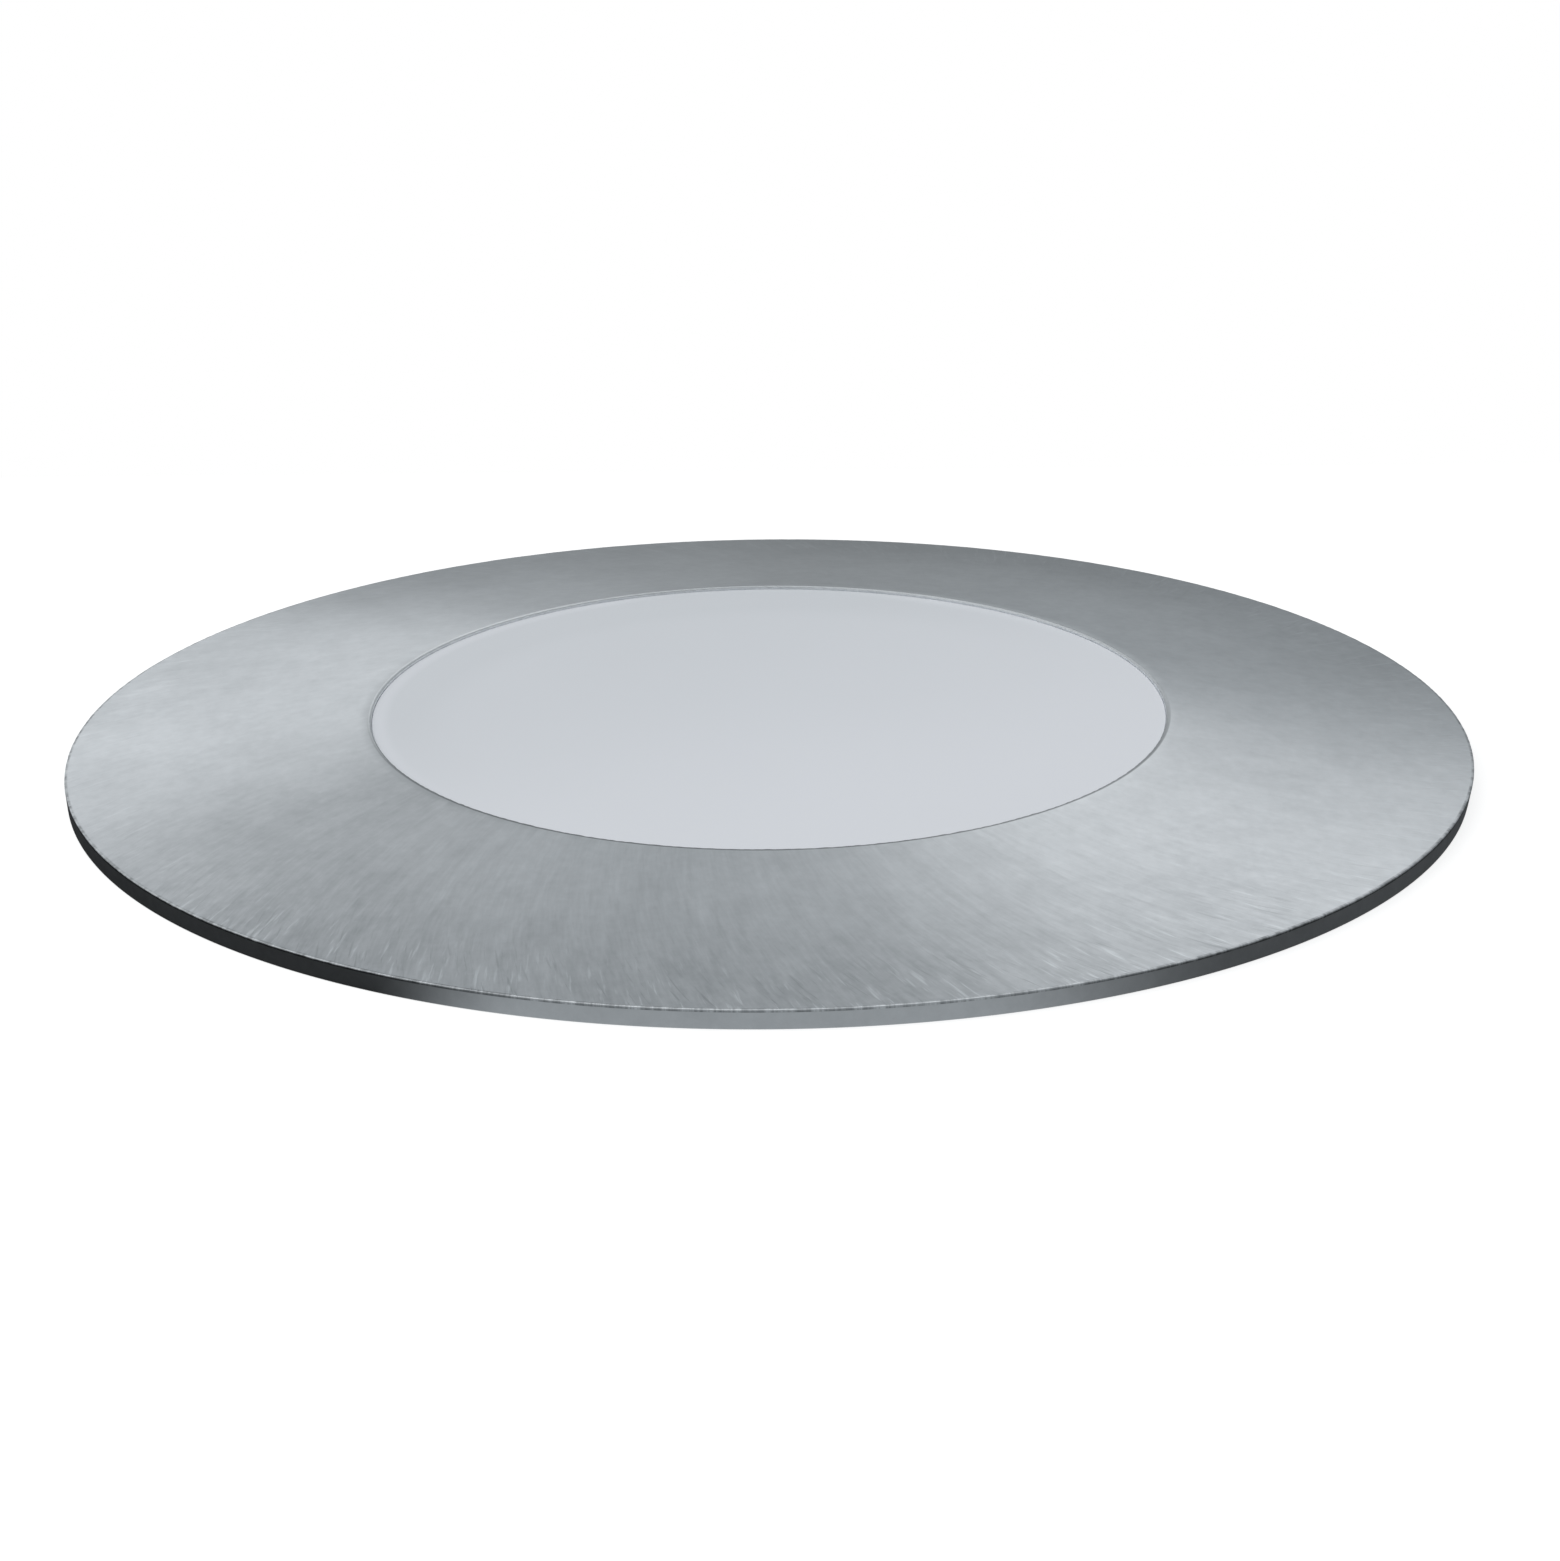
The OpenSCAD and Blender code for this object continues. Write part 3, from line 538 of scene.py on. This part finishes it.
def run(start, end, steps):
    """Evenly spaced points from start to end in the (radius, height) plane, both ends kept."""
    share = np.linspace(0, 1, steps)[:, None, None]
    return np.asarray(start) * (1 - share) + np.asarray(end) * share


def wander(segments, seed, waves):
    """A closed uneven line round the ring, within +-1: a sum of cosines of whole wave numbers."""
    rng = np.random.default_rng(seed)
    turn = np.arange(segments) * TAU / segments
    counts, phases = rng.integers(*waves, 24), rng.uniform(0, TAU, 24)
    line = np.cos(counts[:, None] * turn + phases[:, None]).sum(0)
    return line / np.abs(line).max()


def level(segments, r, z):
    """One (radius, height) pair a segment, from numbers or from lines round the ring."""
    return np.stack([np.broadcast_to(r, segments), np.broadcast_to(z, segments)], -1)


def trim_ring(segments=1440):
    """The trim: a shallow cone of even thickness, with a broken outer edge and a round inner one.

    The height of its top at radius r is SHEET + slope * (outer - r). Its side leans in towards the
    foot by lean_in(t) = 0.05 + (0.16 + 0.06 cos t) cos^8 t mm, most at its left and right ends. The
    outer edge's break and the inner round wander round the ring, as edges that were sheared and
    then brushed do.
    """
    _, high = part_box("trim_ring")
    outer = high.x
    slope = CLIMB / (outer - HOLE_R)
    lean = math.atan(slope)
    edge = 1 + 0.40 * wander(segments, 3, (120, 420)) + 0.25 * wander(segments, 4, (20, 90))
    lip = 1 + 0.25 * wander(segments, 5, (80, 300)) + 0.15 * wander(segments, 6, (8, 40))
    edge, lip = 0.075 * MM * edge, 0.15 * MM * lip
    foot, low_z = 0.08 * MM, -0.04 * MM
    turn = np.arange(segments) * TAU / segments
    lean_in = 0.05 * MM + (0.16 + 0.06 * np.cos(turn)) * MM * np.cos(turn) ** 8

    def top(r):
        return SHEET + slope * (outer - r)

    def at(r, z):
        return level(segments, r, z)

    def over(r, drop=0.0):
        return at(r, top(r) - drop)

    def side(z):
        return at(outer - lean_in * (1 - z / SHEET), z)

    profile = [
        bend(at(outer - lean_in - foot, low_z + foot), foot, -90, 0, 5),
        run(side(0.2 * MM), side(0.9 * MM), 6),
        run(side(SHEET - edge * 1.3), side(SHEET - edge), 2),
        run(at(outer - edge * 0.25, SHEET - edge * 0.22), over(outer - edge * 0.9), 3),
        run(over(outer - edge * 1.2), over(outer - 0.4 * MM), 2),
        run(over(outer - MM), over(HOLE_R + 1.3 * MM), 20),
        run(over(HOLE_R + 0.9 * MM), over(HOLE_R + 0.3 * MM), 3),
        bend(over(HOLE_R + lip, lip / math.cos(lean)), lip, 90 - math.degrees(lean), 180, 9),
        run(over(HOLE_R, 0.35 * MM), over(HOLE_R, SHEET - 0.06 * MM), 6),
        run(at(HOLE_R + 0.05 * MM, top(HOLE_R) - SHEET), over(HOLE_R + 0.5 * MM, SHEET), 2),
        run(over(HOLE_R + 2 * MM, SHEET), over(outer - 0.3 * MM, SHEET), 8),
    ]
    return skin("trim_ring_brushed", turned(np.concatenate(profile)))


def lens(segments=720):
    """The lens: a disc with a clamped lip, and a boss that fits the trim and has a rounded top.

    Its profile (r, z) runs out along the underside, up the lip and in to the boss, up the boss at
    the radius seat, round an edge of radius edge that ends at show, and in to the axis.
    """
    low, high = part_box("lens")
    show, seat = HOLE_R - 0.03 * MM, HOLE_R - 0.01 * MM
    lip_top, edge, top_z = 1.709 * MM, 0.05 * MM, high.z + 0.08 * MM

    def at(r, z):
        return level(segments, r, z)

    profile = [
        run(at(0.5 * MM, low.z), at(high.x - 0.1 * MM, low.z), 12),
        run(at(high.x, low.z + 0.1 * MM), at(high.x, lip_top - 0.1 * MM), 3),
        run(at(high.x - 0.1 * MM, lip_top), at(show + 0.1 * MM, lip_top), 3),
        run(at(seat, lip_top + 0.1 * MM), at(seat, top_z - edge - 0.03 * MM), 4),
        bend(at(show - edge, top_z - edge), edge, 0, 90, 12),
        run(at(show - edge - 0.06 * MM, top_z), at(0.5 * MM, top_z), 24),
    ]
    poles = [(0, 0, low.z), (0, 0, top_z)]
    return skin("lens_frosted", turned(np.concatenate(profile)), poles)


for piece, node, finish in (
    (trim_ring(), "trim_ring", "brushed_stainless"),
    (lens(), "lens", "frosted_glass"),
):
    piece.data.materials.append(FINISHES[finish])
    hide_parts(node)
    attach(piece, "light")


# ---- Studio --------------------------------------------------------------------------------

def floor_slab(segments=720):
    """A thin pale rectangle of floor with a round hole for the sleeve.

    Its outline at the angle t is the smaller of half / |cos t| and (back or front) / |sin t|.
    """
    turn = np.arange(segments) * TAU / segments
    cos, sin = np.cos(turn), np.sin(turn)
    half, front, back, tiny = 52 * MM, 152 * MM, 60 * MM, 1e-9
    across = half / np.maximum(np.abs(cos), tiny)
    along = np.where(sin > 0, back, front) / np.maximum(np.abs(sin), tiny)
    outline, hole = np.minimum(across, along), 36.6 * MM
    top, bottom = -0.06 * MM, -0.46 * MM
    rings = [level(segments, r, z) for r, z in (
        (outline, bottom), (outline, top), (hole, top), (hole, bottom),
    )]
    slab = skin("floor", turned(np.stack(rings)))
    slab.data.shade_flat()
    return slab


ROOM_TINT = (0.945, 1.0, 1.03, 1.0)


def sees_straight(p):
    """Two shares: 1 for rays from the camera, and 1 for those from gloss or through glass."""
    path = p.node("LightPath").socket.node.outputs
    camera, glossy, through = [
        Link(p, path[f"Is {kind} Ray"]) for kind in ("Camera", "Glossy", "Transmission")
    ]
    return camera, glossy + through


def studio_floor():
    """White to the camera with a faint shadow; gloss sees it grey with a dark card each side."""
    material, p = finish_of("studio_floor")
    camera, gloss = sees_straight(p)
    seen = p.node("AddShader", sockets={
        0: p.node("Emission", sockets={"Color": (1, 1, 1, 1), "Strength": 0.8}),
        1: p.node("BsdfDiffuse", sockets={"Color": (0.3, 0.3, 0.3, 1)}),
    })
    left_card, right_card = sector(p, 210, 26, 40), sector(p, 330, 17, 45)
    open_side = 0.40 + 0.20 * sector(p, 272, 16, 80) - 0.22 * sector(p, 90, 50, 100)
    shade = open_side * (1.0 - 0.94 * left_card) * (1.0 - 0.80 * right_card)
    mirrored = p.node("Emission", sockets={"Color": ROOM_TINT, "Strength": shade})
    plain = p.node("BsdfDiffuse", sockets={"Color": (0.8, 0.8, 0.8, 1)})
    for share, shader in ((gloss, mirrored), (camera, seen)):
        plain = p.node("MixShader", sockets={0: share, 1: plain, 2: shader})
    p.node("OutputMaterial", sockets={"Surface": plain})
    return material


def studio_world():
    """White behind the object, a mid grey room in its gloss, and an even soft fill on it."""
    world = bpy.data.worlds.new("studio")
    bpy.context.scene.world = world
    world.use_nodes = True
    p = Paint(world.node_tree)
    camera, gloss = sees_straight(p)
    fill = p.node("Background", sockets={"Color": ROOM_TINT, "Strength": 0.45})
    height = p.node("SeparateXYZ", sockets={0: p.node("TexCoord")}, out=2)
    tone = height.fit(0.0, 0.6, 0.44, 0.60)
    room = p.node("Background", sockets={"Color": ROOM_TINT, "Strength": tone})
    white = p.node("Background", sockets={"Color": (1, 1, 1, 1), "Strength": 1.0})
    for share, shader in ((gloss, room), (camera, white)):
        fill = p.node("MixShader", sockets={0: share, 1: fill, 2: shader})
    p.node("OutputWorld", sockets={"Surface": fill})


def softbox(name, toward, distance, wide, long, power):
    """A rectangular lamp that faces the origin from distance along toward."""
    data = bpy.data.lights.new(name, "AREA")
    data.shape, data.size, data.size_y, data.energy = "RECTANGLE", wide, long, power
    lamp = bpy.data.objects.new(name, data)
    bpy.context.scene.collection.objects.link(lamp)
    away = Vector(toward).normalized()
    lamp.location = away * distance
    lamp.rotation_mode = "QUATERNION"
    lamp.rotation_quaternion = away.to_track_quat("Z", "Y")


slab = floor_slab()
slab.data.materials.append(studio_floor())
studio_world()
softbox("key_softbox", toward=(-0.50, -0.02, 0.868), distance=0.8, wide=1.2, long=1.6, power=6.8)


# ---- Camera --------------------------------------------------------------------------------
# A long lens low over the floor. The trim's rim plane sits a little left of and above the
# frame's middle, and the horizon is turned by a fraction of a degree.

ELEVATION, ROLL = math.radians(19.54), math.radians(0.516)
DISTANCE, LENS_MM, SENSOR_MM = 0.85, 324.9, 36.0
RIGHT_BY, UP_BY = 0.64 * MM, -1.035 * MM

back = Vector((0, -math.cos(ELEVATION), math.sin(ELEVATION)))
right, up = Vector((1, 0, 0)), Vector((0, math.sin(ELEVATION), math.cos(ELEVATION)))
data = bpy.data.cameras.new("camera")
data.lens, data.sensor_width = LENS_MM, SENSOR_MM
data.clip_start, data.clip_end = 0.01, 20
camera = bpy.data.objects.new("camera", data)
bpy.context.scene.collection.objects.link(camera)
turned_right = right * math.cos(ROLL) - up * math.sin(ROLL)
turned_up = up * math.cos(ROLL) + right * math.sin(ROLL)
aim = Vector((0, 0, SHEET)) + right * RIGHT_BY + up * UP_BY
axes = Matrix((turned_right, turned_up, back)).transposed().to_4x4()
axes.translation = aim + back * DISTANCE
camera.matrix_world = axes
bpy.context.scene.camera = camera

bpy.context.scene.view_settings.view_transform = "Standard"
